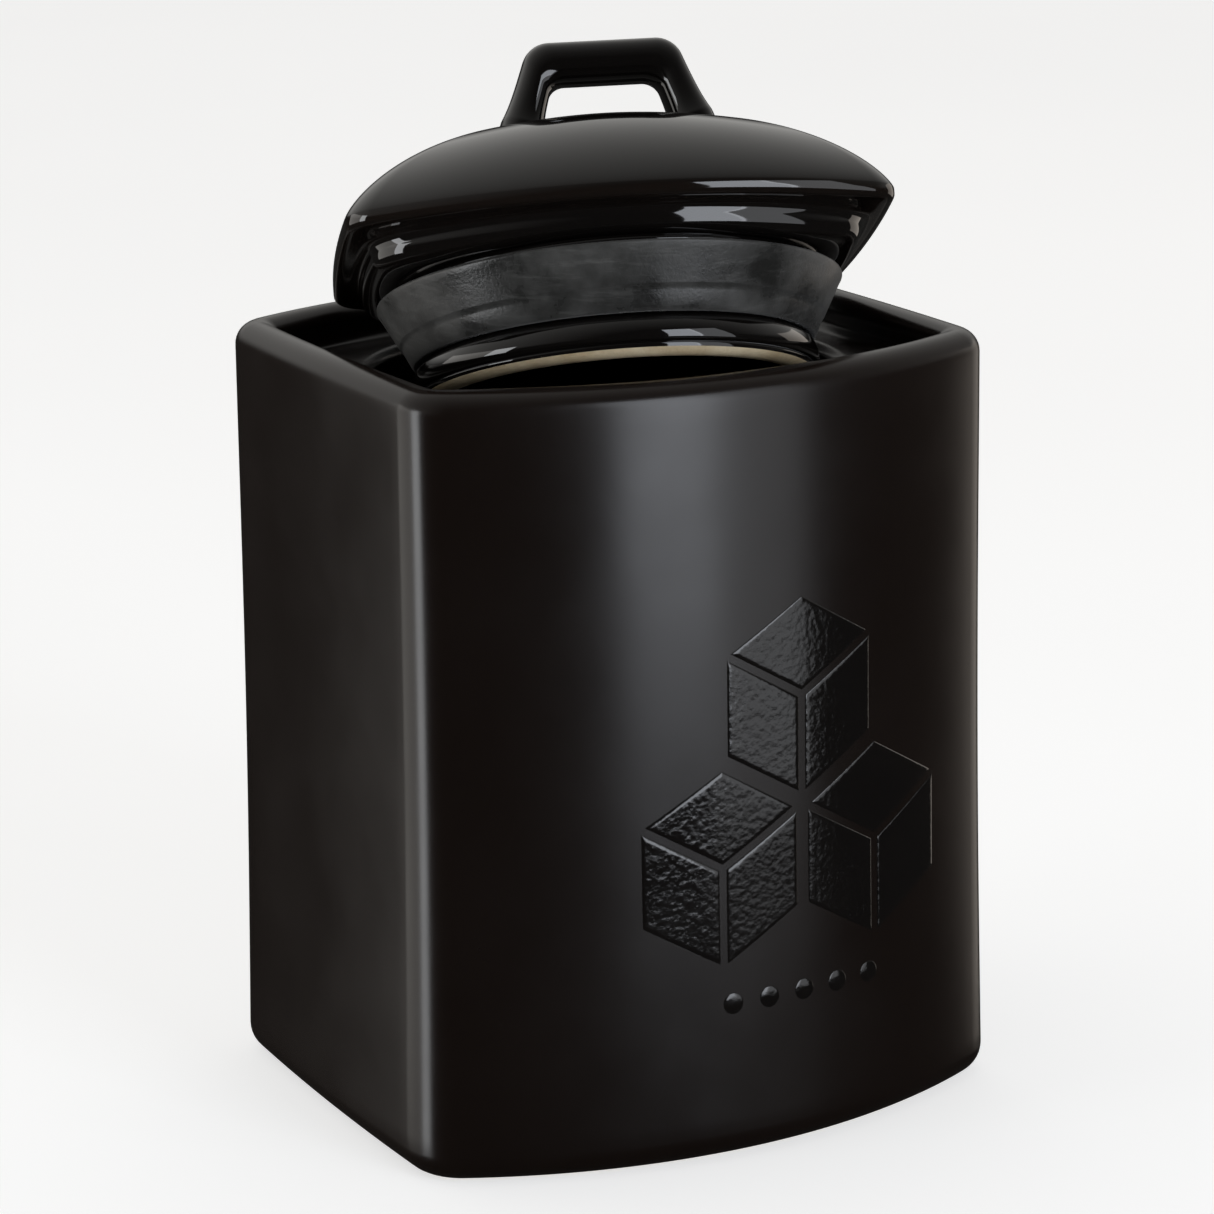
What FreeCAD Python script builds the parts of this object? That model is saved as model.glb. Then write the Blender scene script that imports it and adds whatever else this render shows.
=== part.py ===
import math
import os

import FreeCAD
import Part

V = FreeCAD.Vector

# Jar, outer form. Straight sides left and right, bowed front and back.
JAR_WIDTH = 111.4
JAR_DEPTH = 105.0
JAR_HEIGHT = 135.0
FRONT_BOW = 10.8
SIDE_BOW = 0.7
JAR_CORNER = 9.7
BASE_ROUND = 5.0
# How far the wall stands outside the plain outline, at each height.
WALL_FLARE = ((0.0, 1.72), (24.0, 1.12), (62.0, 0.38), (102.0, 0.04), (135.0, -0.1))

# Jar, tray under the rim, round mouth and hollow inside.
LIP_WIDTH = 7.5
LIP_OUTER_ROUND = 3.9
LIP_INNER_ROUND = 3.3
TRAY_DEPTH = 7.0
TRAY_FILLET = 2.2
MOUTH_RADIUS = 40.7
MOUTH_ROUND = 2.0
DECK_THICKNESS = 7.0
WALL_THICKNESS = 5.5
FLOOR_THICKNESS = 6.5
HOLLOW_FILLET = 3.6

# Raised gloss motif on the front: three stacked cubes over a row of beads.
MOTIF_RELIEF = 0.2
MOTIF_CENTRE_X = 9.0
MOTIF_CENTRE_Z = 66.0
CUBE_EDGE = 17.5
CUBE_GAP = 1.3
CUBE_SQUEEZE = 0.86
BEAD_COUNT = 5
BEAD_RADIUS = 1.9
BEAD_PITCH = 7.0
BEAD_DROP = 38.0

# Lid cap: flange that nests in the tray, boss below it, pillow dome above.
LID_WIDTH = 93.2
LID_DEPTH = 85.3
LID_BOW = 8.8
LID_CORNER = 7.6
FLANGE_HEIGHT = 2.3
FLANGE_ROUND = 1.5
BOSS_WIDTH = 84.4
BOSS_DEPTH = 74.0
BOSS_BOW = 9.0
BOSS_CORNER = 12.0
BOSS_HEIGHT = 4.9
BOSS_ROUND = 3.0
DOME_HEIGHT = 20.0
DOME_POWER = 2.5
DOME_FALL = 0.8
DOME_STEPS = (1.0, 0.985, 0.955, 0.91, 0.85, 0.77, 0.67, 0.55, 0.41, 0.26, 0.08)
LID_HOLLOW_TOP = 13.0
LID_HOLLOW_ROUND = 6.0

# Lid handle: trapezoid arch on the crown of the dome.
HANDLE_RISE = 15.4
HANDLE_FOOT_HALF = 18.2
HANDLE_TOP_HALF = 12.7
HANDLE_THICK = 9.4
HANDLE_BAR = 7.4
HANDLE_HOLE_FOOT_HALF = 11.6
HANDLE_HOLE_TOP_HALF = 9.0
HANDLE_CORNER = 4.6
HANDLE_HOLE_CORNER = 3.0
HANDLE_EDGE = 2.5
HANDLE_SINK = 5.0
# The handle sits this far to the right of the middle of the dome.
HANDLE_SHIFT = 2.0

# Lid plug: neck, seat for the seal, retaining bead and unglazed foot.
PLUG_BORE = 29.6
NECK_RADIUS = 36.6
NECK_END = 6.6
SEAT_RADIUS = 33.1
SEAT_END = 17.6
BEAD_RING_RADIUS = 34.9
BEAD_RING_LEVEL = 20.2
FOOT_RADIUS = 33.9
FOOT_LEVEL = 22.4
PLUG_END = 24.4
PLUG_LIP_ROUND = 2.0

# Seal: a tapered ring stretched into the seat.
SEAL_FIT = 0.05
SEAL_TOP_RADIUS = 40.3
SEAL_TOP = 6.64
SEAL_STEP_LEVEL = 13.5
SEAL_STEP = 0.35
SEAL_END_RADIUS = 34.5
SEAL_END = 17.3
SEAL_LIP = 0.7

# Where the lid stands on the jar: leaned back in the tray, front edge up.
LID_ROLL = -1.5
LID_TILT = -22.9
LID_TURN = -21.4
LID_PLACE = V(-1.0, -3.2, 147.6)


def arc(centre, radius, start, end, z):
    """Arc from angle start to angle end, in radians, at height z."""
    def at(angle):
        return V(centre[0] + radius * math.cos(angle), centre[1] + radius * math.sin(angle), z)
    return Part.Arc(at(start), at((start + end) / 2.0), at(end)).toShape()


def bowed_wire(width, depth, bow, side_bow, corner, inset, z, scale=1.0):
    """Closed outline with bowed sides and round corners, moved inwards by inset."""
    a = (width / 2.0 - side_bow - corner) * scale
    b = (depth / 2.0 - bow - corner) * scale
    bow, side_bow = bow * scale, side_bow * scale
    grow = corner * scale - inset
    front = (a * a + bow * bow) / (2.0 * bow)
    side = (b * b + side_bow * side_bow) / (2.0 * side_bow)
    fa = math.asin(a / front)
    sa = math.asin(b / side)
    fy = b + bow - front
    sx = a + side_bow - side
    half = math.pi / 2.0
    edges = [
        arc((sx, 0.0), side + grow, -sa, sa, z),
        arc((a, b), grow, sa, half - fa, z),
        arc((0.0, fy), front + grow, half - fa, half + fa, z),
        arc((-a, b), grow, half + fa, math.pi - sa, z),
        arc((-sx, 0.0), side + grow, math.pi - sa, math.pi + sa, z),
        arc((-a, -b), grow, math.pi + sa, 3.0 * half - fa, z),
        arc((0.0, -fy), front + grow, 3.0 * half - fa, 3.0 * half + fa, z),
        arc((a, -b), grow, 3.0 * half + fa, 4.0 * half - sa, z),
    ]
    return Part.Wire(edges)


def prism(wire, height):
    """Solid extruded straight up from a closed wire."""
    return Part.Face(wire).extrude(V(0, 0, height))


def jar_wire(inset, z):
    """Outline of the jar at height z."""
    return bowed_wire(JAR_WIDTH, JAR_DEPTH, FRONT_BOW, SIDE_BOW, JAR_CORNER, inset, z)


def jar_outside(inset):
    """Outer form of the jar, flared towards its base, moved inwards by inset."""
    wires = [jar_wire(inset - flare, z) for z, flare in WALL_FLARE]
    return Part.makeLoft(wires, True, False)


def rim_edges(shape, z, tolerance=0.01):
    """Edges of a shape that lie wholly at height z."""
    found = []
    for edge in shape.Edges:
        box = edge.BoundBox
        if abs(box.ZMin - z) < tolerance and abs(box.ZMax - z) < tolerance:
            found.append(edge)
    return found


def round_level(shape, z, radius):
    """Fillet every edge of a shape that lies at height z."""
    return shape.makeFillet(radius, rim_edges(shape, z))


def jar_body():
    """Jar with its rim, tray, round mouth and hollow."""
    deck = JAR_HEIGHT - TRAY_DEPTH
    body = round_level(jar_outside(0.0), 0.0, BASE_ROUND)
    body = round_level(body, JAR_HEIGHT, LIP_OUTER_ROUND)
    tray = round_level(prism(jar_wire(LIP_WIDTH, deck), TRAY_DEPTH + 5.0), deck, TRAY_FILLET)
    body = body.cut(tray)
    body = round_level(body, JAR_HEIGHT, LIP_INNER_ROUND)
    ceiling = deck - DECK_THICKNESS
    hollow = prism(jar_wire(WALL_THICKNESS, FLOOR_THICKNESS), ceiling - FLOOR_THICKNESS)
    hollow = round_level(hollow, FLOOR_THICKNESS, HOLLOW_FILLET)
    hollow = round_level(hollow, ceiling, HOLLOW_FILLET)
    body = body.cut(hollow)
    bore = Part.makeCylinder(MOUTH_RADIUS, DECK_THICKNESS + 6.0, V(0, 0, ceiling - 3.0))
    body = body.cut(bore)
    mouth = [e for e in rim_edges(body, deck) if abs(e.BoundBox.XMax - MOUTH_RADIUS) < 0.05]
    return body.makeFillet(MOUTH_ROUND, mouth)


def flat_prism(points):
    """Solid pushed out towards the front from a polygon given as x, z pairs."""
    ring = [V(x, -JAR_DEPTH, z) for x, z in points]
    return Part.Face(Part.makePolygon(ring + ring[:1])).extrude(V(0, JAR_DEPTH - 20.0, 0))


def cube_faces(x, z):
    """Three visible faces of one cube, as x, z polygons with a gap between them."""
    rise = CUBE_EDGE / 2.0
    reach = CUBE_EDGE * CUBE_SQUEEZE
    g = CUBE_GAP / 2.0
    top = [(x, z + g), (x + reach - 2 * g, z + rise), (x, z + 2 * rise - g), (x - reach + 2 * g, z + rise)]
    left = [(x - g, z - g / 2), (x - reach + g, z + rise - 1.6 * g),
            (x - reach + g, z - rise), (x - g, z - 2 * rise + g)]
    right = [(2 * x - px, pz) for px, pz in left]
    return [top, left, right]


def jar_motif():
    """Raised motif that follows the bowed front of the jar."""
    shell = jar_outside(-MOTIF_RELIEF).cut(jar_outside(0.0))
    reach = CUBE_EDGE * CUBE_SQUEEZE
    x, z = MOTIF_CENTRE_X, MOTIF_CENTRE_Z
    places = [(x - reach - 0.5, z - CUBE_EDGE * 0.8), (x + reach + 0.5, z - CUBE_EDGE * 0.8),
              (x, z + CUBE_EDGE * 0.8)]
    pieces = []
    for px, pz in places:
        for face in cube_faces(px, pz):
            pieces.append(flat_prism(face))
    for i in range(BEAD_COUNT):
        px = x + (i - (BEAD_COUNT - 1) / 2.0) * BEAD_PITCH
        centre = V(px, -JAR_DEPTH, z - BEAD_DROP)
        pieces.append(Part.makeCylinder(BEAD_RADIUS, JAR_DEPTH - 20.0, centre, V(0, 1, 0)))
    return Part.makeCompound([piece.common(shell) for piece in pieces])


def lid_wire(inset, z, scale=1.0):
    """Outline of the lid at height z above the underside of its flange."""
    return bowed_wire(LID_WIDTH, LID_DEPTH, LID_BOW, SIDE_BOW, LID_CORNER, inset, z, scale)


def dome_level(scale):
    """Height of the dome where its outline has shrunk to this scale."""
    return FLANGE_HEIGHT + DOME_HEIGHT * (1.0 - scale ** DOME_POWER) ** DOME_FALL


def lid_hollow():
    """Hollow that runs up through the plug into the dome."""
    hollow = Part.makeCylinder(PLUG_BORE, LID_HOLLOW_TOP + BOSS_HEIGHT + 1.0, V(0, 0, -BOSS_HEIGHT - 1.0))
    return round_level(hollow, LID_HOLLOW_TOP, LID_HOLLOW_ROUND)


def lid_cap():
    """Flange, boss and dome, hollow inside."""
    flange = round_level(prism(lid_wire(0.0, 0.0), FLANGE_HEIGHT), 0.0, FLANGE_ROUND)
    wires = [lid_wire(0.0, dome_level(s), s) for s in DOME_STEPS]
    dome = Part.makeLoft(wires, True, False)
    boss_wire = bowed_wire(BOSS_WIDTH, BOSS_DEPTH, BOSS_BOW, SIDE_BOW, BOSS_CORNER, 0.0, -BOSS_HEIGHT)
    boss = round_level(prism(boss_wire, BOSS_HEIGHT), -BOSS_HEIGHT, BOSS_ROUND)
    return flange.fuse(dome).fuse(boss).cut(lid_hollow())


def trapezoid(foot_half, top_half, z_foot, z_top, corner, thick):
    """Upright trapezoid slab with its two top corners rounded."""
    points = [V(-foot_half, -thick / 2, z_foot), V(foot_half, -thick / 2, z_foot),
              V(top_half, -thick / 2, z_top), V(-top_half, -thick / 2, z_top)]
    slab = Part.Face(Part.makePolygon(points + points[:1])).extrude(V(0, thick, 0))
    tops = [e for e in slab.Edges
            if abs(e.BoundBox.ZMin - z_top) < 0.01 and e.BoundBox.YLength > thick / 2]
    return slab.makeFillet(corner, tops)


def lid_handle(cap):
    """Arched handle whose feet end on the dome."""
    crown = FLANGE_HEIGHT + DOME_HEIGHT
    foot = crown - HANDLE_SINK
    top = crown + HANDLE_RISE
    slope = (HANDLE_FOOT_HALF - HANDLE_TOP_HALF) / HANDLE_RISE
    hole_top = top - HANDLE_BAR
    hole_slope = (HANDLE_HOLE_FOOT_HALF - HANDLE_HOLE_TOP_HALF) / (hole_top - crown)
    arch = trapezoid(HANDLE_FOOT_HALF + slope * HANDLE_SINK, HANDLE_TOP_HALF, foot, top,
                     HANDLE_CORNER, HANDLE_THICK)
    hole = trapezoid(HANDLE_HOLE_FOOT_HALF + hole_slope * HANDLE_SINK, HANDLE_HOLE_TOP_HALF, foot,
                     hole_top, HANDLE_HOLE_CORNER, HANDLE_THICK + 4.0)
    arch = arch.cut(hole)
    edges = [e for e in arch.Edges if e.BoundBox.YLength < 0.01 and e.BoundBox.ZMax > foot + 0.5]
    arch = arch.makeFillet(HANDLE_EDGE, edges)
    arch.translate(V(HANDLE_SHIFT, 0, 0))
    arch = arch.cut(cap)
    return max(arch.Solids, key=lambda s: s.Volume)


def turned(points, arcs):
    """Solid of revolution about Z from (radius, z) points; arcs maps index to a mid point."""
    ring = [V(r, 0, z) for r, z in points]
    edges = []
    for i, start in enumerate(ring):
        end = ring[(i + 1) % len(ring)]
        if i in arcs:
            middle = V(arcs[i][0], 0, arcs[i][1])
            edges.append(Part.Arc(start, middle, end).toShape())
        else:
            edges.append(Part.LineSegment(start, end).toShape())
    return Part.Face(Part.Wire(edges)).revolve(V(0, 0, 0), V(0, 0, 1), 360)


def lid_plug():
    """Hollow plug that hangs under the boss and carries the seal."""
    r = PLUG_LIP_ROUND
    inner = PLUG_BORE
    slant = r * 0.293
    points = [(inner, -BOSS_HEIGHT), (NECK_RADIUS, -BOSS_HEIGHT), (NECK_RADIUS, -NECK_END),
              (SEAT_RADIUS, -NECK_END), (SEAT_RADIUS, -SEAT_END), (FOOT_RADIUS, -FOOT_LEVEL),
              (FOOT_RADIUS - r, -PLUG_END), (inner + r, -PLUG_END), (inner, -PLUG_END + r)]
    arcs = {4: (BEAD_RING_RADIUS, -BEAD_RING_LEVEL),
            5: (FOOT_RADIUS - slant, -PLUG_END + slant),
            7: (inner + slant, -PLUG_END + slant)}
    return turned(points, arcs)


def seal_ring():
    """Tapered ring with a fine step round it, in the seat of the plug."""
    bore = SEAT_RADIUS + SEAL_FIT
    slope = (SEAL_TOP_RADIUS - SEAL_END_RADIUS) / (SEAL_END - SEAL_TOP)
    step_radius = SEAL_TOP_RADIUS - slope * (SEAL_STEP_LEVEL - SEAL_TOP)
    lip = SEAL_LIP
    points = [(bore, -SEAL_TOP), (SEAL_TOP_RADIUS - lip, -SEAL_TOP),
              (SEAL_TOP_RADIUS - slope * lip, -SEAL_TOP - lip),
              (step_radius, -SEAL_STEP_LEVEL), (step_radius - SEAL_STEP, -SEAL_STEP_LEVEL - 0.1),
              (SEAL_END_RADIUS, -SEAL_END), (bore, -SEAL_END)]
    arcs = {1: (SEAL_TOP_RADIUS - 0.35 * lip, -SEAL_TOP - 0.3 * lip)}
    return turned(points, arcs)


def stand_lid(shape):
    """Place a lid piece as it leans on the jar."""
    placed = shape.copy()
    origin = V(0, 0, 0)
    placed.rotate(origin, V(0, 1, 0), LID_ROLL)
    placed.rotate(origin, V(1, 0, 0), LID_TILT)
    placed.rotate(origin, V(0, 0, 1), LID_TURN)
    placed.translate(LID_PLACE)
    return placed


def main():
    """Build each sub-part and write it out."""
    os.makedirs("parts", exist_ok=True)
    cap = lid_cap()
    shapes = {
        "jar_body": jar_body(),
        "jar_motif": jar_motif(),
        "lid_cap": stand_lid(cap),
        "lid_handle": stand_lid(lid_handle(cap)),
        "lid_plug": stand_lid(lid_plug()),
        "seal_ring": stand_lid(seal_ring()),
    }
    for name, shape in shapes.items():
        print(name, "valid" if shape.isValid() else "NOT VALID", len(shape.Solids), round(shape.Volume))
        shape.exportStep(os.path.join("parts", name + ".step"))


main()
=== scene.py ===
"""Black stoneware sugar jar with its domed lid leaned open: pieces, glazes, lights and view."""
import logging
import math
from dataclasses import dataclass
from enum import Enum
from functools import cached_property

import bpy
import numpy as np
from bpy.types import ID, Material, Node, NodeSocket, NodeTree, Object
from mathutils import Matrix, Vector


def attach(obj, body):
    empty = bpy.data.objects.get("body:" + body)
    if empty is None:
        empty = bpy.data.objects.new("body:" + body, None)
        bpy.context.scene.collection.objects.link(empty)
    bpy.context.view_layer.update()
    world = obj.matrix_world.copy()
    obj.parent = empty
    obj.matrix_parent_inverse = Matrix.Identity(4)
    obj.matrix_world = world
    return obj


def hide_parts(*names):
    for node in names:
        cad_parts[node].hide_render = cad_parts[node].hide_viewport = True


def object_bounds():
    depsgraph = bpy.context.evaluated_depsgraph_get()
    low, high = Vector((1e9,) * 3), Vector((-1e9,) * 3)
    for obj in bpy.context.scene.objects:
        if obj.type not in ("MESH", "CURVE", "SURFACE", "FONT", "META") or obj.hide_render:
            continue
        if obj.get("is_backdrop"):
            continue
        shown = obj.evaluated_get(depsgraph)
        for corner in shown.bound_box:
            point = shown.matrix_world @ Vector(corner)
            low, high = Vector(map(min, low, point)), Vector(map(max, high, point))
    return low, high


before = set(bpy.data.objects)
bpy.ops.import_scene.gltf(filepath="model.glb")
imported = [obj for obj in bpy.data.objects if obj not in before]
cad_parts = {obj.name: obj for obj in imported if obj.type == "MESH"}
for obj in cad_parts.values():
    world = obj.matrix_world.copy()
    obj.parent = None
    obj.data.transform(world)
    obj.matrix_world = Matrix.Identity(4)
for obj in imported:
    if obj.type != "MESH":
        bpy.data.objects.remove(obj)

log = logging.getLogger("sugar_jar")
MM = 0.001
HALF_TURN = math.pi
FULL_TURN = 2 * math.pi
LATHE_STEPS = 224

Pair = tuple[float, float]
Triple = tuple[float, float, float]
Run = tuple[float, ...]


class Body(Enum):
    """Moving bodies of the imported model."""

    JAR = "jar"
    LID = "lid"


class Slot(Enum):
    """Material slots named in the record."""

    SATIN = "satin_glaze"
    GLOSS = "gloss_glaze"
    SILICONE = "grey_silicone"


class Ends(Enum):
    """What a loft does with its first and last rings."""

    FANNED = "fanned"
    JOINED = "joined"
    OPEN = "open"


# ---- outlines and lofts


@dataclass(frozen=True)
class BowedOutline:
    """Rounded square whose front and back bow outwards, sampled so that insets stay parallel."""

    width: float
    depth: float
    bow: float
    corner: float
    side_bow: float = 0.7
    sharpest: float = 0.3
    side_steps: int = 22
    corner_steps: int = 18
    front_steps: int = 40

    def front_arc(self) -> tuple[float, float, float, float]:
        """Arc of the bowed front, before the corner radius is added.

        Returns:
            Half the chord, the chord's distance from the middle, the radius, and the distance of the
            arc's centre from the middle, towards the front.
        """
        a = self.width / 2 - self.side_bow - self.corner
        b = self.depth / 2 - self.bow - self.corner
        radius = (a * a + self.bow ** 2) / (2 * self.bow)
        return a, b, radius, b + self.bow - radius

    def ring(self, inset: float = 0.0, scale: float = 1.0) -> np.ndarray:
        """Points of the outline.

        Args:
            inset: distance moved inwards, in millimetres.
            scale: shrink factor about the centre, applied before the inset.

        Returns:
            Array of x, y points, anticlockwise from the right side.
        """
        a, b, front, front_centre = (v * scale for v in self.front_arc())
        side_bow = self.side_bow * scale
        side = (b * b + side_bow ** 2) / (2 * side_bow)
        grow = max(self.corner * scale - inset, self.sharpest)
        fa, sa, q = math.asin(a / front), math.asin(b / side), HALF_TURN / 2
        runs = (
            ((a + side_bow - side, 0.0), side + grow, -sa, sa, self.side_steps),
            ((a, b), grow, sa, q - fa, self.corner_steps),
            ((0.0, front_centre), front + grow, q - fa, q + fa, self.front_steps),
            ((-a, b), grow, q + fa, 2 * q - sa, self.corner_steps),
        )
        parts = []
        for (cx, cy), radius, start, end, steps in runs:
            t = np.linspace(start, end, steps, endpoint=False)
            parts.append(np.c_[cx + radius * np.cos(t), cy + radius * np.sin(t)])
        half = np.vstack(parts)
        return np.vstack([half, -half])

    def front_y(self, x: float, outset: float = 0.0) -> float:
        """Where the bowed front stands at x.

        Args:
            x: distance from the middle, in millimetres.
            outset: how far the surface stands proud, in millimetres.

        Returns:
            The y of the front surface, in millimetres.
        """
        _, _, radius, centre = self.front_arc()
        return -centre - math.sqrt((radius + self.corner + outset) ** 2 - x * x)


def circle_like(ring: np.ndarray, radius: float) -> np.ndarray:
    """Circle whose points lie at the same bearings as the points of an outline.

    Args:
        ring: outline points.
        radius: circle radius in millimetres.

    Returns:
        Array of x, y points.
    """
    t = np.arctan2(ring[:, 1], ring[:, 0])
    return np.c_[radius * np.cos(t), radius * np.sin(t)]


def level(ring: np.ndarray, z: float) -> np.ndarray:
    """Outline lifted to height z, as x, y, z points."""
    return np.c_[ring, np.full(len(ring), z)]


def blend_rings(start: np.ndarray, end: np.ndarray, steps: int) -> list[np.ndarray]:
    """Rings spaced evenly between two rings, without the two ends.

    Args:
        start: first ring.
        end: last ring.
        steps: how many rings to put between them.

    Returns:
        List of rings.
    """
    return [start + (end - start) * (i + 1) / (steps + 1) for i in range(steps)]


def rounding(radius: float, steps: int) -> list[Pair]:
    """Distances along a quarter round from the two walls that it joins.

    Args:
        radius: radius of the round, in millimetres.
        steps: number of steps.

    Returns:
        Pairs of distances, from radius and 0 to 0 and radius.
    """
    angles = np.linspace(0.0, HALF_TURN / 2, steps + 1)
    return [(radius * (1 - math.sin(t)), radius * (1 - math.cos(t))) for t in angles]


def new_object(name: str, data: ID) -> Object:
    """New object with this data, linked to the scene.

    Args:
        name: object name.
        data: its mesh, light or camera.

    Returns:
        The new object.
    """
    obj = bpy.data.objects.new(name, data)
    bpy.context.scene.collection.objects.link(obj)
    return obj


def mesh_object(name: str, co: np.ndarray, faces: list[tuple], place: Matrix | None = None) -> Object:
    """Make a smooth-shaded object from points in millimetres.

    Args:
        name: object name.
        co: vertex positions in millimetres.
        faces: vertex indices of each face.
        place: transform applied before the change to metres.

    Returns:
        The new object, linked to the scene.
    """
    mesh = bpy.data.meshes.new(name)
    mesh.from_pydata([tuple(p) for p in co], [], faces)
    if place is not None:
        mesh.transform(place)
    mesh.transform(Matrix.Scale(MM, 4))
    mesh.update()
    mesh.polygons.foreach_set("use_smooth", [True] * len(mesh.polygons))
    return new_object(name, mesh)


def loft(name: str, rings: list[np.ndarray], ends: Ends = Ends.FANNED,
         place: Matrix | None = None) -> Object:
    """Skin a stack of rings of equal length.

    Args:
        name: object name.
        rings: x, y, z rings in millimetres, ordered so that faces point outwards.
        ends: fan the end rings shut, join them to each other, or leave them open.
        place: transform applied to the mesh, in millimetres.

    Returns:
        The new object, smooth shaded, with its place in its mesh.
    """
    n, co, faces = len(rings[0]), np.vstack(rings), []
    after = [(i + 1) % n for i in range(n)]
    for r in range(len(rings) if ends is Ends.JOINED else len(rings) - 1):
        lo, hi = r * n, (r + 1) % len(rings) * n
        faces += [(lo + i, lo + j, hi + j, hi + i) for i, j in enumerate(after)]
    if ends is Ends.FANNED:
        first, last, base = len(co), len(co) + 1, len(co) - n
        co = np.vstack([co, rings[0].mean(0), rings[-1].mean(0)])
        for i, j in enumerate(after):
            faces += [(first, j, i), (last, base + i, base + j)]
    return mesh_object(name, co, faces, place)


def lathe(name: str, profile: list[Pair], place: Matrix) -> Object:
    """Turn a closed profile about the lid's axis, and leave the result right side out.

    Args:
        name: object name.
        profile: radius, height pairs in millimetres.
        place: transform of the lid.

    Returns:
        The new object.
    """
    t = np.linspace(0, FULL_TURN, LATHE_STEPS, endpoint=False)
    circle = np.c_[np.cos(t), np.sin(t)]
    obj = loft(name, [level(circle * r, z) for r, z in profile], Ends.JOINED, place)
    outward(obj)
    return obj


def outward(obj: Object) -> None:
    """Turn a piece right side out, by the sign of the volume between its faces and the origin."""
    if sum(p.center.dot(p.normal) * p.area for p in obj.data.polygons) < 0:
        obj.data.flip_normals()


def own_heights(points: list[Vector], place: Matrix) -> np.ndarray:
    """Heights of points, in millimetres, in the frame of a piece before it was placed.

    Args:
        points: places in metres.
        place: transform of the piece, in millimetres.

    Returns:
        One height for each point.
    """
    back = place.inverted()
    return np.array([(back @ (p / MM)).z for p in points])


# ---- shader building


class Nodes:
    """Small helper that adds and joins nodes in one tree."""

    def __init__(self, tree: NodeTree) -> None:
        """Start on a tree, keeping whatever it holds."""
        self.tree = tree

    def fill(self, node: Node, inputs: dict[str | int, object]) -> None:
        """Set a node's inputs.

        Args:
            node: the node.
            inputs: by name or number, a value, a socket, or a node whose first output is used.
        """
        for key, value in inputs.items():
            if isinstance(value, Node):
                value = value.outputs[0]
            if isinstance(value, NodeSocket):
                self.tree.links.new(value, node.inputs[key])
            else:
                node.inputs[key].default_value = value

    def add(self, kind: str, inputs: dict[str | int, object] | None = None, **settings: object) -> Node:
        """Add a node.

        Args:
            kind: node type, such as ShaderNodeMath.
            inputs: its inputs, as fill takes them.
            settings: its other properties, which are set first.

        Returns:
            The new node.
        """
        node = self.tree.nodes.new(kind)
        for key, value in settings.items():
            setattr(node, key, value)
        self.fill(node, inputs or {})
        return node

    def math(self, operation: str, a: object, b: object = 0.0) -> NodeSocket:
        """Output of a math node on two values or sockets."""
        return self.add("ShaderNodeMath", {0: a, 1: b}, operation=operation).outputs[0]

    def plus(self, a: object, b: object) -> NodeSocket:
        """Sum of two values or sockets."""
        return self.math("ADD", a, b)

    def minus(self, a: object, b: object) -> NodeSocket:
        """Difference of two values or sockets."""
        return self.math("SUBTRACT", a, b)

    def times(self, a: object, b: object) -> NodeSocket:
        """Product of two values or sockets."""
        return self.math("MULTIPLY", a, b)

    def here(self) -> NodeSocket:
        """Position in the object's own space."""
        return self.add("ShaderNodeTexCoord").outputs["Object"]

    def noise(self, coords: object, scale: object, detail: float = 2.0, rough: float = 0.5) -> NodeSocket:
        """Add a noise texture.

        Args:
            coords: socket or node that gives the coordinates.
            scale: noise scale, or the socket that feeds it.
            detail: octaves.
            rough: roughness of the octaves.

        Returns:
            The noise value socket.
        """
        inputs = {"Vector": coords, "Scale": scale, "Detail": detail, "Roughness": rough}
        return self.add("ShaderNodeTexNoise", inputs).outputs[0]

    def spread(self, value: NodeSocket, source: Pair, target: Pair = (0.0, 1.0)) -> NodeSocket:
        """Map one range onto another, clamped.

        Args:
            value: socket to map.
            source: range that comes in.
            target: range that goes out.

        Returns:
            The mapped socket.
        """
        inputs = {0: value, 1: source[0], 2: source[1], 3: target[0], 4: target[1]}
        return self.add("ShaderNodeMapRange", inputs, clamp=True).outputs[0]

    def mix(self, factor: NodeSocket, a: Triple, b: Triple) -> NodeSocket:
        """Colour that goes from a to b with the factor."""
        inputs = {0: factor, 6: (*a, 1.0), 7: (*b, 1.0)}
        return self.add("ShaderNodeMix", inputs, data_type="RGBA").outputs[2]

    def bump(self, height: NodeSocket, strength: float, depth: float) -> Node:
        """Bump node on a height, with its strength and its depth in metres."""
        return self.add("ShaderNodeBump", {"Height": height, "Strength": strength, "Distance": depth})


def shader_group(name: str, inputs: dict[str, float], outputs: tuple[str, ...]) -> tuple:
    """Start a shader node group.

    Args:
        name: group name.
        inputs: name and default of each value input.
        outputs: name of each value output.

    Returns:
        The tree, its helper, the sockets that come in, and its output node.
    """
    tree = bpy.data.node_groups.new(name, "ShaderNodeTree")
    for key, value in inputs.items():
        socket = tree.interface.new_socket(key, in_out="INPUT", socket_type="NodeSocketFloat")
        socket.default_value = value
    for key in outputs:
        tree.interface.new_socket(key, in_out="OUTPUT", socket_type="NodeSocketFloat")
    n = Nodes(tree)
    return tree, n, n.add("NodeGroupInput").outputs, n.add("NodeGroupOutput")


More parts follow.
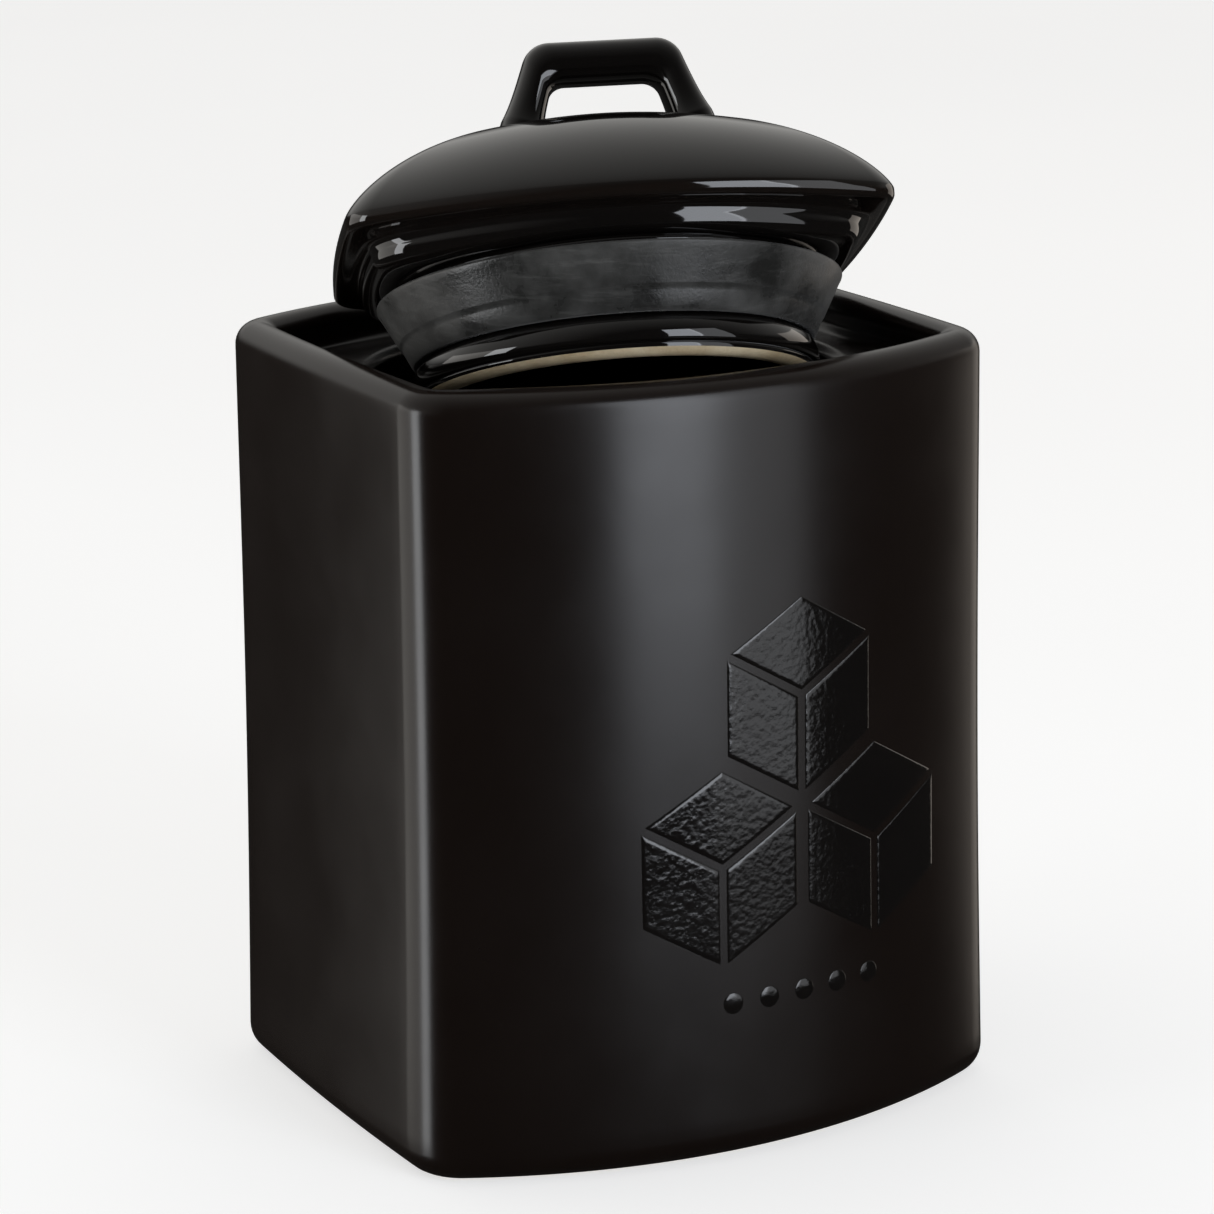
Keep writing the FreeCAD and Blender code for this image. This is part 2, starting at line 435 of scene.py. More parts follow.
@dataclass(frozen=True)
class GlazeSkin:
    """Ripple, pinholes and haze that every fired glaze on the jar shares."""

    swell_detail: float = 1.5
    swell_rough: float = 0.4
    fine_scale: float = 7.0
    fine_share: float = 0.12
    pit_size: float = 0.22
    patch_scale: float = 240.0
    patch_range: Pair = (0.56, 0.7)
    haze_scale: float = 38.0
    haze_detail: float = 4.0
    haze_rough: float = 0.6

    def build(self) -> NodeTree:
        """Build the group.

        Returns:
            A group with outputs Height, Haze and Pits.
        """
        defaults = {"Ripple Scale": 60.0, "Ripple": 0.5, "Pit Scale": 700.0, "Pits": 0.2}
        tree, n, get, end = shader_group("glaze_skin", defaults, ("Height", "Haze", "Pits"))
        at = n.here()
        swell = n.noise(at, get["Ripple Scale"], self.swell_detail, self.swell_rough)
        fine = n.noise(at, n.times(get["Ripple Scale"], self.fine_scale))
        ripple = n.times(n.plus(swell, n.times(fine, self.fine_share)), get["Ripple"])
        cells = n.add("ShaderNodeTexVoronoi", {"Vector": at, "Scale": get["Pit Scale"]})
        hole = n.spread(cells.outputs["Distance"], (0.0, self.pit_size), (1.0, 0.0))
        patches = n.spread(n.noise(at, self.patch_scale), self.patch_range)
        pits = n.times(n.times(hole, patches), get["Pits"])
        haze = n.noise(at, self.haze_scale, self.haze_detail, self.haze_rough)
        n.fill(end, {"Height": n.minus(ripple, pits), "Haze": haze, "Pits": pits})
        return tree


@dataclass(frozen=True)
class ChalkDust:
    """Cloudy dust and fine rub marks, for rubbery and unglazed surfaces."""

    cloud_detail: float = 5.0
    cloud_rough: float = 0.62
    cloud_range: Pair = (0.35, 0.68)
    grain_scale: float = 22.0
    grain_detail: float = 3.0
    grain_rough: float = 0.6
    rub_stretch: Triple = (1.0, 1.0, 9.0)
    rub_turn: Triple = (0.35, 0.1, 0.4)
    rub_scale: float = 1.6
    rub_detail: float = 4.0
    rub_rough: float = 0.7
    rub_range: Pair = (0.52, 0.72)

    def build(self) -> NodeTree:
        """Build the group.

        Returns:
            A group with outputs Cloud, Grain and Rub.
        """
        tree, n, get, end = shader_group("chalk_dust", {"Scale": 60.0}, ("Cloud", "Grain", "Rub"))
        at, scale = n.here(), get["Scale"]
        cloud = n.noise(at, scale, self.cloud_detail, self.cloud_rough)
        grain = n.noise(at, n.times(scale, self.grain_scale), self.grain_detail, self.grain_rough)
        streaks = n.add("ShaderNodeMapping", {
            "Vector": at, "Scale": self.rub_stretch, "Rotation": self.rub_turn})
        rub = n.noise(streaks, n.times(scale, self.rub_scale), self.rub_detail, self.rub_rough)
        n.fill(end, {"Cloud": n.spread(cloud, self.cloud_range), "Grain": grain,
                     "Rub": n.spread(rub, self.rub_range)})
        return tree


class Groups:
    """Shader groups, each built once."""

    skin = GlazeSkin().build()
    chalk = ChalkDust().build()


def new_material(name: str) -> tuple[Material, Nodes, Node]:
    """Make a material with one principled shader.

    Args:
        name: material name.

    Returns:
        The material, its node helper and its shader node.
    """
    material = bpy.data.materials.new(name)
    material.use_nodes = True
    material.node_tree.nodes.clear()
    n = Nodes(material.node_tree)
    shader = n.add("ShaderNodeBsdfPrincipled")
    n.add("ShaderNodeOutputMaterial", {0: shader})
    return material, n, shader


@dataclass(frozen=True)
class Glaze:
    """A fired glaze: dark in the flats, browner where it runs thin over an edge."""

    name: str
    colour: Triple
    thin: Triple
    roughness: float
    haze: float
    ripple: float
    ripple_scale: float
    pits: float
    pit_scale: float
    bump: float
    coat: float = 0.0
    coat_rough: float = 0.03
    haze_range: Pair = (0.3, 0.7)
    speck_range: Pair = (0.45, 0.8)
    speck: float = 0.1125
    pit_rough: float = 0.3
    ior: float = 1.52
    bump_depth: float = 0.0004

    def build(self) -> Material:
        """Build the material.

        Returns:
            The material.
        """
        material, n, shader = new_material(self.name)
        skin = n.add("ShaderNodeGroup", {
            "Ripple Scale": self.ripple_scale, "Ripple": self.ripple,
            "Pit Scale": self.pit_scale, "Pits": self.pits}, node_tree=Groups.skin).outputs
        edge = n.add("ShaderNodeAttribute", attribute_name="thin_glaze").outputs["Fac"]
        haze = n.spread(skin["Haze"], self.haze_range, (-self.haze, self.haze))
        speck = n.spread(skin["Haze"], self.speck_range, (0.0, self.speck))
        worn = n.math("MINIMUM", n.plus(edge, speck), 1.0)
        n.fill(shader, {
            "Base Color": n.mix(worn, self.colour, self.thin),
            "Roughness": n.plus(n.plus(haze, self.roughness), n.times(skin["Pits"], self.pit_rough)),
            "IOR": self.ior,
            "Coat Weight": self.coat,
            "Coat Roughness": self.coat_rough,
            "Normal": n.bump(skin["Height"], self.bump, self.bump_depth),
        })
        return material


@dataclass(frozen=True)
class Silicone:
    """Grey moulded silicone with a chalky bloom."""

    name: str = "grey_silicone_seal"
    colour: Triple = (0.014, 0.014, 0.013)
    bloom: Triple = (0.105, 0.105, 0.101)
    scale: float = 72.0
    cloud: float = 0.75
    rub: float = 0.4
    roughness: float = 0.22
    cloud_rough: float = 0.3
    ior: float = 1.5
    sheen: float = 0.15
    bump: float = 0.25
    bump_depth: float = 0.0002

    def build(self) -> Material:
        """Build the material.

        Returns:
            The material.
        """
        material, n, shader = new_material(self.name)
        chalk = n.add("ShaderNodeGroup", {"Scale": self.scale}, node_tree=Groups.chalk).outputs
        dust = n.plus(n.times(chalk["Cloud"], self.cloud), n.times(chalk["Rub"], self.rub))
        n.fill(shader, {
            "Base Color": n.mix(n.math("MINIMUM", dust, 1.0), self.colour, self.bloom),
            "Roughness": n.plus(self.roughness, n.times(chalk["Cloud"], self.cloud_rough)),
            "IOR": self.ior,
            "Sheen Weight": self.sheen,
            "Normal": n.bump(chalk["Grain"], self.bump, self.bump_depth),
        })
        return material


@dataclass(frozen=True)
class Bisque:
    """Bare fired clay where the glaze is wiped away."""

    name: str = "bare_fired_clay"
    colour: Triple = (0.60, 0.46, 0.27)
    pale: Triple = (0.84, 0.72, 0.50)
    scale: float = 110.0
    roughness: float = 0.72
    grain_rough: float = 0.2
    bump: float = 0.5
    bump_depth: float = 0.0003

    def build(self) -> Material:
        """Build the material.

        Returns:
            The material.
        """
        material, n, shader = new_material(self.name)
        chalk = n.add("ShaderNodeGroup", {"Scale": self.scale}, node_tree=Groups.chalk).outputs
        n.fill(shader, {
            "Base Color": n.mix(chalk["Cloud"], self.colour, self.pale),
            "Roughness": n.plus(self.roughness, n.times(chalk["Grain"], self.grain_rough)),
            "Normal": n.bump(chalk["Grain"], self.bump, self.bump_depth),
        })
        return material


@dataclass(frozen=True)
class Finishes:
    """Every finish on the object."""

    satin: Material
    gloss: Material
    motif: Material
    silicone: Material
    bisque: Material

    @classmethod
    def mixed(cls) -> "Finishes":
        """Build all the materials.

        Returns:
            The finishes.
        """
        satin = Glaze("satin_black_glaze", (0.0085, 0.0050, 0.0036), (0.016, 0.009, 0.006), roughness=0.235,
                      haze=0.03, ripple=0.5, ripple_scale=55.0, pits=0.12, pit_scale=900.0, bump=0.10)
        gloss = Glaze("gloss_black_glaze", (0.005, 0.0042, 0.0038), (0.016, 0.010, 0.007), roughness=0.05,
                      haze=0.02, ripple=0.55, ripple_scale=48.0, pits=0.03, pit_scale=600.0, bump=0.10,
                      coat=0.4)
        motif = Glaze("poured_gloss_glaze", (0.006, 0.005, 0.0046), (0.02, 0.014, 0.01), roughness=0.12,
                      haze=0.05, ripple=0.8, ripple_scale=900.0, pits=0.5, pit_scale=1400.0, bump=0.2,
                      coat=0.3, coat_rough=0.06)
        return cls(satin.build(), gloss.build(), motif.build(), Silicone().build(), Bisque().build())


def finish_piece(obj: Object, material: Material, body: Body) -> None:
    """Dress a piece and fix it to its body.

    Args:
        obj: the piece.
        material: its finish.
        body: the body it rides on.
    """
    obj.data.materials.clear()
    obj.data.materials.append(material)
    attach(obj, body.value)
    log.info("%s: %d faces on %s", obj.name, len(obj.data.polygons), body.value)


def mark_thin(obj: Object, weights: np.ndarray | float = 0.0) -> None:
    """Store where the glaze runs thin.

    Args:
        obj: the piece.
        weights: one value for each vertex, or one for them all.
    """
    attribute = obj.data.attributes.new("thin_glaze", "FLOAT", "POINT")
    values = np.clip(np.broadcast_to(weights, len(obj.data.vertices)), 0.0, 1.0)
    attribute.data.foreach_set("value", values.astype(np.float32))


# ---- the jar


@dataclass
class Jar:
    """Body of the jar: walls, rim, tray, mouth and hollow. Sizes are in millimetres."""

    outline: BowedOutline = BowedOutline(width=111.4, depth=105.0, bow=10.8, corner=9.7)
    height: float = 135.0
    base_round: float = 5.0
    lip_outer: float = 3.9
    lip_inner: float = 3.3
    lip_width: float = 7.5
    tray_depth: float = 7.0
    tray_fillet: float = 2.2
    mouth: float = 40.7
    mouth_round: float = 2.0
    deck: float = 7.0
    wall: float = 5.5
    floor: float = 6.5
    neck_rise: float = 2.0
    hollow_fillet: float = 3.6
    flare_at: Run = (0.0, 24.0, 62.0, 102.0, 135.0)
    flare_by: Run = (1.72, 1.12, 0.38, 0.04, -0.1)
    flare_unit: float = 100.0
    base_scales: Run = (0.25, 0.5, 0.75, 0.9)
    floor_scales: Run = (0.85, 0.6, 0.3)
    edge_steps: int = 10
    wall_steps: int = 46
    lip_steps: int = 8
    fillet_steps: int = 7
    deck_steps: int = 5
    hollow_steps: int = 6
    ceiling_steps: int = 3
    crest_thin: float = 0.55
    crest_band: float = 1.1
    mouth_thin: float = 0.5
    mouth_edge: float = 0.6
    mouth_band: float = 0.8
    mouth_above: float = 124.0
    bare_slope: float = -0.95
    bare_height: float = 0.4

    @cached_property
    def flare_curve(self) -> np.ndarray:
        """Coefficients of the smooth curve through the flare, with height in flare units.

        Returns:
            The coefficients, lowest power first.
        """
        degree = len(self.flare_at) - 1
        heights = np.array(self.flare_at) / self.flare_unit
        return np.polynomial.polynomial.polyfit(heights, self.flare_by, degree)

    def flare(self, z: float) -> float:
        """How far the wall stands outside the plain outline at height z."""
        return float(np.polynomial.polynomial.polyval(z / self.flare_unit, self.flare_curve))

    def outside(self) -> list[np.ndarray]:
        """Rings from the middle of the base up to the crest of the lip.

        Returns:
            List of rings.
        """
        ring = self.outline.ring
        rings = [level(ring(self.base_round - self.flare(0.0)) * s, 0.0) for s in self.base_scales]
        for side, z in rounding(self.base_round, self.edge_steps):
            rings.append(level(ring(side - self.flare(z)), z))
        for z in np.linspace(self.base_round, self.height - self.lip_outer, self.wall_steps)[1:-1]:
            rings.append(level(ring(-self.flare(z)), z))
        for drop, side in rounding(self.lip_outer, self.edge_steps):
            z = self.height - drop
            rings.append(level(ring(side - self.flare(z)), z))
        return rings

    def tray(self) -> list[np.ndarray]:
        """Rings from the crest of the lip down the inner wall and across to the mouth.

        Returns:
            List of rings.
        """
        ring, deck = self.outline.ring, self.height - self.tray_depth
        rings = [level(ring(self.lip_width - side), self.height - drop)
                 for side, drop in rounding(self.lip_inner, self.lip_steps)]
        rings += [level(ring(self.lip_width + side), deck + rise)
                  for rise, side in rounding(self.tray_fillet, self.fillet_steps)]
        like = rings[-1][:, :2]
        brim = level(circle_like(like, self.mouth + self.mouth_round), deck)
        rings += blend_rings(rings[-1], brim, self.deck_steps)
        rings += [level(circle_like(like, self.mouth + side), deck - drop)
                  for side, drop in rounding(self.mouth_round, self.fillet_steps)]
        return rings

    def inside(self) -> list[np.ndarray]:
        """Rings from the neck under the mouth to the middle of the floor.

        Returns:
            List of rings.
        """
        ring, fillet = self.outline.ring, rounding(self.hollow_fillet, self.hollow_steps)
        ceiling = self.height - self.tray_depth - self.deck
        inner = ring(self.wall + self.hollow_fillet)
        neck = circle_like(inner, self.mouth)
        rings = [level(neck, ceiling + self.neck_rise), level(neck, ceiling)]
        rings += blend_rings(rings[-1], level(inner, ceiling), self.ceiling_steps)
        rings += [level(ring(self.wall + side), ceiling - drop) for side, drop in fillet]
        rings += [level(ring(self.wall + side), self.floor + rise) for rise, side in fillet]
        return rings + [level(inner * s, self.floor) for s in self.floor_scales]

    def build(self, finishes: Finishes) -> None:
        """Build and dress the jar.

        Args:
            finishes: every finish.
        """
        body = loft("jar_stoneware", self.outside() + self.tray() + self.inside())
        x, y, z = (np.array([v.co for v in body.data.vertices]) / MM).T
        crest = np.exp(-((z - self.height) / self.crest_band) ** 2)
        mouth = np.exp(-((np.hypot(x, y) - self.mouth - self.mouth_edge) / self.mouth_band) ** 2)
        mark_thin(body, self.crest_thin * crest + self.mouth_thin * mouth * (z > self.mouth_above))
        finish_piece(body, finishes.satin, Body.JAR)
        body.data.materials.append(finishes.bisque)
        bare = [p.normal.z < self.bare_slope and p.center.z < self.bare_height * MM
                for p in body.data.polygons]
        body.data.polygons.foreach_set("material_index", np.array(bare, dtype=np.int32))
        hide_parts("jar_body")


# ---- the motif


@dataclass
class Motif:
    """Raised gloss motif on the bowed front: stacked sugar cubes over a row of beads."""

    jar: Jar
    centre_x: float = 9.0
    centre_z: float = 66.0
    edge: float = 17.5
    gap: float = 1.3
    squeeze: float = 0.86
    bevel: float = 1.6
    stand_apart: float = 0.5
    stack_rise: float = 0.8
    relief: float = 0.2
    shoulder: float = 0.7
    sunk: float = 0.04
    plate_rows: int = 26
    bead_count: int = 5
    bead_radius: float = 1.9
    bead_pitch: float = 7.0
    bead_drop: float = 38.0
    bead_flat: float = 0.115
    bead_segments: int = 28
    bead_rings: int = 14

    def faces(self, x: float, z: float) -> list[np.ndarray]:
        """Outlines of the three faces of one cube.

        Args:
            x: middle of the cube.
            z: height of the corner where the faces meet.

        Returns:
            Three outlines as x, z points.
        """
        rise, reach, g = self.edge / 2, self.edge * self.squeeze, self.gap / 2
        top = [(x, z + g), (x + reach - 2 * g, z + rise),
               (x, z + 2 * rise - g), (x - reach + 2 * g, z + rise)]
        left = [(x - g, z - g / 2), (x - reach + g, z + rise - self.bevel * g),
                (x - reach + g, z - rise), (x - g, z - 2 * rise + g)]
        right = [(2 * x - px, pz) for px, pz in reversed(left)]
        return [np.array(top), np.array(left), np.array(right)]

    def plate(self, corners: np.ndarray) -> tuple[np.ndarray, list[tuple]]:
        """Lay one soft-edged plate of glaze on the front.

        Args:
            corners: four corners as x, z points.

        Returns:
            Vertex positions and faces.
        """
        a, b, c, d = corners
        size = max(np.linalg.norm(b - a), np.linalg.norm(c - b))
        n = self.plate_rows + 1
        steps = (1 - np.cos(np.linspace(0, HALF_TURN, n))) / 2
        co = []
        for u in steps:
            for v in steps:
                x, z = a * (1 - u) * (1 - v) + b * u * (1 - v) + c * u * v + d * (1 - u) * v
                rim = min(u, 1 - u, v, 1 - v) * size
                swell = self.relief * math.sqrt(1 - (1 - min(rim / self.shoulder, 1.0)) ** 2)
                co.append(self.on_front(x, z, swell - self.sunk))
        starts = [i * n + j for i in range(n - 1) for j in range(n - 1)]
        return np.array(co), [(k, k + n, k + n + 1, k + 1) for k in starts]

    def on_front(self, x: float, z: float, proud: float) -> tuple[float, float, float]:
        """Point that stands proud of the bowed front at x, z."""
        return x, self.jar.outline.front_y(x, self.jar.flare(z) + proud), z

    def build_cubes(self) -> Object:
        """Build the stacked cubes as one piece.

        Returns:
            The cubes, laid on the front.
        """
        reach, drop = self.edge * self.squeeze + self.stand_apart, self.edge * self.stack_rise
        x, z = self.centre_x, self.centre_z
        points, faces, base = [], [], 0
        for cube in ((x - reach, z - drop), (x + reach, z - drop), (x, z + drop)):
            for corners in self.faces(*cube):
                co, quads = self.plate(corners)
                points.append(co)
                faces += [tuple(i + base for i in q) for q in quads]
                base += len(co)
        obj = mesh_object("motif_cubes", np.vstack(points), faces)
        outward(obj)
        return obj

    def bead_tree(self) -> NodeTree:
        """Geometry node tree that strings beads along the bowed front.

        Returns:
            The tree, with inputs for the count, sizes, places and finish of the beads.
        """
        tree = bpy.data.node_groups.new("bead_row", "GeometryNodeTree")
        kinds = {"Geometry": "Geometry", "Count": "Int", "Pitch": "Float", "Radius": "Float",
                 "Bow Radius": "Float", "Bow Centre": "Float", "Across": "Float", "Up": "Float",
                 "Finish": "Material"}
        for key, kind in kinds.items():
            tree.interface.new_socket(key, in_out="INPUT", socket_type="NodeSocket" + kind)
        tree.interface.new_socket("Geometry", in_out="OUTPUT", socket_type="NodeSocketGeometry")
        n = Nodes(tree)
        get, end = n.add("NodeGroupInput").outputs, n.add("NodeGroupOutput")
        step = n.add("ShaderNodeCombineXYZ", {0: get["Pitch"]})
        line = n.add("GeometryNodeMeshLine", {"Count": get["Count"], "Offset": step}, mode="OFFSET")
        half = n.times(n.minus(get["Count"], 1.0), 0.5)
        first = n.minus(get["Across"], n.times(half, get["Pitch"]))
        along = n.add("ShaderNodeSeparateXYZ", {0: n.add("GeometryNodeInputPosition")})
        x = n.plus(along.outputs[0], first)
        square = n.minus(n.times(get["Bow Radius"], get["Bow Radius"]), n.times(x, x))
        y = n.minus(get["Bow Centre"], n.math("SQRT", square))
        place = n.add("ShaderNodeCombineXYZ", {0: x, 1: y, 2: get["Up"]})
        row = n.add("GeometryNodeSetPosition", {"Geometry": line, "Position": place})
        ball = n.add("GeometryNodeMeshUVSphere", {
            "Segments": self.bead_segments, "Rings": self.bead_rings, "Radius": get["Radius"]})
        bead = n.add("GeometryNodeTransform", {0: ball, "Scale": (1.0, self.bead_flat, 1.0)})
        bearing = n.math("ARCSINE", n.math("DIVIDE", x, get["Bow Radius"]))
        turn = n.add("FunctionNodeEulerToRotation", {0: n.add("ShaderNodeCombineXYZ", {2: bearing})})
        beads = n.add("GeometryNodeInstanceOnPoints", {"Points": row, "Instance": bead, "Rotation": turn})
        soft = n.add("GeometryNodeSetShadeSmooth", {0: n.add("GeometryNodeRealizeInstances", {0: beads})})
        n.fill(end, {0: n.add("GeometryNodeSetMaterial", {"Geometry": soft, "Material": get["Finish"]})})
        return tree

    def build_beads(self, finish: Material) -> Object:
        """Build the row of beads with geometry nodes.

        Args:
            finish: material of the beads.

        Returns:
            The beads as a plain mesh object.
        """
        z = self.centre_z - self.bead_drop
        _, _, front, front_centre = self.jar.outline.front_arc()
        sizes = {"Pitch": self.bead_pitch, "Radius": self.bead_radius,
                 "Bow Radius": front + self.jar.outline.corner + self.jar.flare(z),
                 "Bow Centre": -front_centre, "Across": self.centre_x, "Up": z}
        values = {key: size * MM for key, size in sizes.items()}
        return grow("motif_beads", self.bead_tree(), {"Count": self.bead_count, "Finish": finish, **values})

    def build(self, finishes: Finishes) -> None:
        """Build and dress the motif.

        Args:
            finishes: every finish.
        """
        cubes = self.build_cubes()
        finish_piece(cubes, finishes.motif, Body.JAR)
        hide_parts("jar_motif")
        finish_piece(self.build_beads(finishes.motif), finishes.motif, Body.JAR)


def grow(name: str, tree: NodeTree, values: dict[str, object]) -> Object:
    """Run a geometry node tree and keep its result as a plain mesh.

    Args:
        name: object name.
        tree: geometry node tree.
        values: group inputs by name.

    Returns:
        The new object, with no modifier.
    """
    seed = new_object(name + "_seed", bpy.data.meshes.new(name + "_seed"))
    modifier = seed.modifiers.new("grow", "NODES")
    modifier.node_group = tree
    for item in tree.interface.items_tree:
        if item.in_out == "INPUT" and item.name in values:
            modifier[item.identifier] = values[item.name]
    seed.update_tag()
    mesh = bpy.data.meshes.new_from_object(seed.evaluated_get(bpy.context.evaluated_depsgraph_get()))
    mesh.name = name
    seed.modifiers.remove(modifier)
    bpy.data.objects.remove(seed)
    return new_object(name, mesh)


# ---- the lid


@dataclass
class Lid:
    """Domed lid in its own frame before it is leaned: millimetres, with z 0 at the flange's underside."""

    outline: BowedOutline = BowedOutline(width=93.2, depth=85.3, bow=8.8, corner=7.6)
    boss: BowedOutline = BowedOutline(width=84.4, depth=74.0, bow=9.0, corner=12.0)
    flange: float = 2.3
    flange_round: float = 1.5
    boss_height: float = 4.9
    boss_round: float = 3.0
    boss_cove: float = 1.8
    dome: float = 20.0
    dome_power: float = 2.5
    dome_fall: float = 0.8
    dome_reach: float = 0.985
    crown_melt: float = 1.4
    bore: float = 29.6
    bore_ring: float = 2.0
    hollow_top: float = 13.0
    hollow_round: float = 6.0
    hollow_rings: Run = (6.0, 14.0, 20.0)
    round_steps: int = 8
    cove_steps: int = 7
    flange_steps: int = 6
    under_steps: int = 3
    ledge_steps: int = 2
    dome_steps: int = 60
    thin: float = 0.4
    thin_level: float = 1.2
    thin_band: float = 1.3
    roll: float = -1.5
    tilt: float = -22.9
    turn: float = -21.4
    place: Triple = (-1.0, -3.2, 147.6)

    def pose(self) -> Matrix:
        """Transform, in millimetres, from the lid's own frame to where it leans.

        Returns:
            The transform.
        """
        turns = ((self.turn, "Z"), (self.tilt, "X"), (self.roll, "Y"))
        about_z, about_x, about_y = (Matrix.Rotation(math.radians(angle), 4, axis) for angle, axis in turns)
        return Matrix.Translation(Vector(self.place)) @ (about_z @ about_x @ about_y)

    def dome_level(self, scale: float) -> float:
        """Height of the dome where its outline has shrunk to this scale."""
        return self.flange + self.dome * (1 - scale ** self.dome_power) ** self.dome_fall

    def hollow(self) -> list[np.ndarray]:
        """Rings of the hollow, from the middle of its top out and down the bore.

        Returns:
            List of rings.
        """
        radii = [(radius, self.hollow_top) for radius in self.hollow_rings]
        radii += [(self.bore - side, self.hollow_top - drop)
                  for side, drop in rounding(self.hollow_round, self.round_steps)]
        radii += [(self.bore, self.bore_ring), (self.bore, -self.boss_height)]
        return [level(circle_like(self.boss.ring(), radius), z) for radius, z in radii]

    def cap_rings(self) -> list[np.ndarray]:
        """Rings of the cap, from the top of the hollow, down, out and over the dome.

        Returns:
            List of rings.
        """
        rings, edge, boss = self.hollow(), self.outline.ring, self.boss.ring
        rings += blend_rings(rings[-1], level(boss(self.boss_round), -self.boss_height), self.under_steps)
        rings += [level(boss(side), rise - self.boss_height)
                  for side, rise in rounding(self.boss_round, self.round_steps)]
        rings += [level(boss(-side), -drop) for drop, side in rounding(self.boss_cove, self.cove_steps)]
        rings += blend_rings(rings[-1], level(edge(self.flange_round), 0.0), self.ledge_steps)
        rings += [level(edge(side), rise) for side, rise in rounding(self.flange_round, self.flange_steps)]
        scales = np.cos(np.linspace(0.0, self.dome_reach, self.dome_steps) * HALF_TURN / 2)
        return rings + [level(self.crown_ring(float(s)), self.dome_level(s)) for s in scales]

    def crown_ring(self, scale: float) -> np.ndarray:
        """Outline of the dome at a scale: square-shouldered at the edge, oval at the crown.

        Args:
            scale: how far the outline has shrunk.

        Returns:
            Array of x, y points.
        """
        square = self.outline.ring(0.0, scale)
        size = np.array([self.outline.width, self.outline.depth])
        bearing = np.arctan2(*(square / size).T[::-1])
        oval = np.c_[np.cos(bearing), np.sin(bearing)] * size * scale / 2
        melt = (1.0 - scale) ** self.crown_melt
        return square * (1.0 - melt) + oval * melt

    def build_cap(self) -> Object:
        """Build the dome, flange and boss, with the glaze thin along the flange.

        Returns:
            The cap, leaned in its place.
        """
        place = self.pose()
        cap = loft("lid_dome", self.cap_rings(), place=place)
        heights = own_heights([v.co for v in cap.data.vertices], place)
        mark_thin(cap, self.thin * np.exp(-((heights - self.thin_level) / self.thin_band) ** 2))
        return cap

    def build(self, finishes: Finishes) -> None:
        """Build and dress the whole lid.

        Args:
            finishes: every finish.
        """
        cap = self.build_cap()
        finish_piece(cap, finishes.gloss, Body.LID)
        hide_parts("lid_cap")
        handle = Handle(self).build()
        finish_piece(handle, finishes.gloss, Body.LID)
        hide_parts("lid_handle")
        Plug(self).build(finishes)


@dataclass
class Handle:
    """Trapezoid arch on the crown of the dome, with feet that flare into it."""

    lid: Lid
    rise: float = 15.4
    foot_half: float = 18.2
    top_half: float = 12.7
    thick: float = 9.4
    bar: float = 7.4
    hole_foot: float = 11.6
    hole_top: float = 9.0
    corner: float = 4.8
    hole_corner: float = 3.2
    sink: float = 2.2
    flare: float = 0.8
    flare_fade: float = 1.8
    shift: float = 2.0
    boxiness: float = 0.78
    foot_crowding: float = 1.3
    steps: int = 20
    around: int = 40

    def arch(self, foot: float, top: float, height: float, corner: float) -> np.ndarray:
        """Half-open trapezoid with rounded top corners, from the left foot to the right.

        Args:
            foot: half width at the crown of the dome.
            top: half width at the top.
            height: height of the top above the crown.
            corner: corner radius.

        Returns:
            Array of x, z points, z above the crown.
        """
        low = np.array([-(foot + (foot - top) / height * self.sink), -self.sink])
        peak = np.array([-top, height])
        up = (peak - low) / np.linalg.norm(peak - low)
        start = peak - up * corner * math.tan(math.atan2(up[1], up[0]) / 2)
        normal = np.array([up[1], -up[0]])
        centre = start + normal * corner
        share = np.linspace(0, 1, 2 * self.steps, endpoint=False) ** self.foot_crowding
        side = low + np.outer(share, start - low)
        angles = np.linspace(math.atan2(-normal[1], -normal[0]) % FULL_TURN, HALF_TURN / 2, self.steps)
        left = np.vstack([side, centre + corner * np.c_[np.cos(angles), np.sin(angles)]])
        across = np.linspace(1, -1, self.steps)[1:-1]
        middle = left[-1] * np.c_[across, np.ones_like(across)]
        return np.vstack([left, middle, left[::-1] * np.array([-1, 1])])

    def build(self) -> Object:
        """Build the handle.

        Returns:
            The handle as one closed piece.
        """
        outer = self.arch(self.foot_half, self.top_half, self.rise, self.corner)
        inner = self.arch(self.hole_foot, self.hole_top, self.rise - self.bar, self.hole_corner)
        crown = self.lid.flange + self.lid.dome
        t = np.linspace(0, FULL_TURN, self.around, endpoint=False)
        u, v = (np.sign(w) * np.abs(w) ** self.boxiness for w in (np.cos(t), np.sin(t)))
        rings = []
        for o, i in zip(outer, inner):
            spread = self.flare * math.exp(-max(min(o[1], i[1]), 0.0) / self.flare_fade)
            half = (o - i) / 2
            half = half * (1 + spread / np.linalg.norm(half))
            x, z = ((o + i) / 2 + np.outer(u, half)).T
            rings.append(np.c_[x + self.shift, v * (self.thick / 2 + spread), z + crown])
        obj = loft("lid_handle_arch", rings, place=self.lid.pose())
        outward(obj)
        mark_thin(obj)
        return obj


